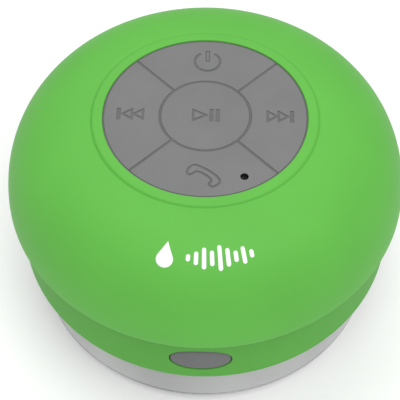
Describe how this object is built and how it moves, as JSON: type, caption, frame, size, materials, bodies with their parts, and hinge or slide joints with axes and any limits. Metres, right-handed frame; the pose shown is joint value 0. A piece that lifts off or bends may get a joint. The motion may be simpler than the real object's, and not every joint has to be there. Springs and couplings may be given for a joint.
{
  "type": "shower speaker",
  "caption": "Round shower speaker with a soft-touch case, a keypad on top, a plugged charging port, a down-firing driver and a screw-in suction cup.",
  "frame": {"origin": "centre of the suction cup's lip, on the surface that the speaker stands on or sticks to", "axes": "+Z out of the keypad, -Y towards the charging port, +X towards the next-track key"},
  "size_m": [0.086, 0.086, 0.054],
  "materials": {
    "case_green": "soft-touch satin green",
    "keypad_silicone": "matt mid-grey silicone",
    "plug_rubber": "matt dark grey",
    "cup_silicone": "satin, slightly translucent pale grey",
    "black_plastic": "moulded black",
    "seal_rubber": "matt black",
    "circuit_board": "green solder mask",
    "steel": "plated steel",
    "battery_foil": "foil pouch",
    "foam": "black foam and mesh",
    "ferrite": "sintered, matt",
    "copper": "enamelled copper winding",
    "spider_cloth": "phenolic-dipped cloth",
    "cone_paper": "black paper",
    "wire_red": "insulation",
    "wire_black": "insulation"
  },
  "bodies": {
    "case": {"acoustic_mesh": "foam", "amplifier_chip": "black_plastic", "battery": "battery_foil", "battery_lead": "wire_red", "battery_pad": "foam", "board_screw_1": "steel", "board_screw_2": "steel", "board_screw_3": "steel", "call_switch": "black_plastic", "case_screw_1": "steel", "case_screw_2": "steel", "case_screw_3": "steel", "case_screw_4": "steel", "charging_board": "circuit_board", "charging_lead": "wire_black", "driver_basket": "black_plastic", "driver_gasket": "foam", "driver_magnet": "ferrite", "driver_screw_1": "steel", "driver_screw_2": "steel", "driver_screw_3": "steel", "driver_screw_4": "steel", "driver_terminal": "circuit_board", "driver_top_plate": "steel", "driver_yoke": "steel", "keypad_frame": "black_plastic", "keypad_web": "keypad_silicone", "lower_shell": "case_green", "main_board": "circuit_board", "microphone": "black_plastic", "next_switch": "black_plastic", "play_pause_switch": "black_plastic", "power_switch": "black_plastic", "previous_switch": "black_plastic", "radio_module": "steel", "shell_seal": "seal_rubber", "speaker_lead": "wire_black", "spider": "spider_cloth", "surround": "seal_rubber", "upper_shell": "case_green", "usb_socket": "steel"},
    "power_button": {"power_key": "keypad_silicone", "power_plunger": "plug_rubber"},
    "previous_button": {"previous_key": "keypad_silicone", "previous_plunger": "plug_rubber"},
    "play_pause_button": {"play_pause_key": "keypad_silicone", "play_pause_plunger": "plug_rubber"},
    "next_button": {"next_key": "keypad_silicone", "next_plunger": "plug_rubber"},
    "call_button": {"call_key": "keypad_silicone", "call_plunger": "plug_rubber"},
    "speaker_cone": {"cone": "cone_paper", "dust_cap": "cone_paper", "voice_coil": "copper"},
    "plug": {"port_plug": "plug_rubber"},
    "cup_washer_body": {"cup_washer": "seal_rubber"},
    "cup": {"suction_cup": "cup_silicone", "cup_stud": "black_plastic"}
  },
  "joints": [
    {"name": "power_press", "type": "slide", "parent": "case", "child": "power_button", "axis": [0, 0, -1], "range_m": [0, 0.00035], "stiffness_N_per_m": 4000, "springref_m": -0.0001},
    {"name": "previous_press", "type": "slide", "parent": "case", "child": "previous_button", "axis": [0, 0, -1], "range_m": [0, 0.00035], "stiffness_N_per_m": 4000, "springref_m": -0.0001},
    {"name": "play_pause_press", "type": "slide", "parent": "case", "child": "play_pause_button", "axis": [0, 0, -1], "range_m": [0, 0.00035], "stiffness_N_per_m": 4000, "springref_m": -0.0001},
    {"name": "next_press", "type": "slide", "parent": "case", "child": "next_button", "axis": [0, 0, -1], "range_m": [0, 0.00035], "stiffness_N_per_m": 4000, "springref_m": -0.0001},
    {"name": "call_press", "type": "slide", "parent": "case", "child": "call_button", "axis": [0, 0, -1], "range_m": [0, 0.00035], "stiffness_N_per_m": 4000, "springref_m": -0.0001},
    {"name": "cone_stroke", "type": "slide", "parent": "case", "child": "speaker_cone", "axis": [0, 0, 1], "range_m": [-0.0008, 0.0008], "stiffness_N_per_m": 1200, "deforming": ["surround", "spider"]},
    {"name": "plug_pull", "type": "slide", "parent": "case", "child": "plug", "axis": [0, -1, 0], "range_m": [0, 0.005]},
    {"name": "cup_travel", "type": "slide", "parent": "case", "child": "cup_washer_body", "axis": [0, 0, -1], "range_m": [0, 0.005]},
    {"name": "cup_unscrew", "type": "hinge", "parent": "cup_washer_body", "child": "cup", "pos_m": [0, 0, 0], "axis": [0, 0, -1], "range_deg": [0, 720]}
  ],
  "couplings": [
    {"joint": "cup_travel", "follows": "cup_unscrew", "m_per_rad": 0.00039789}
  ]
}
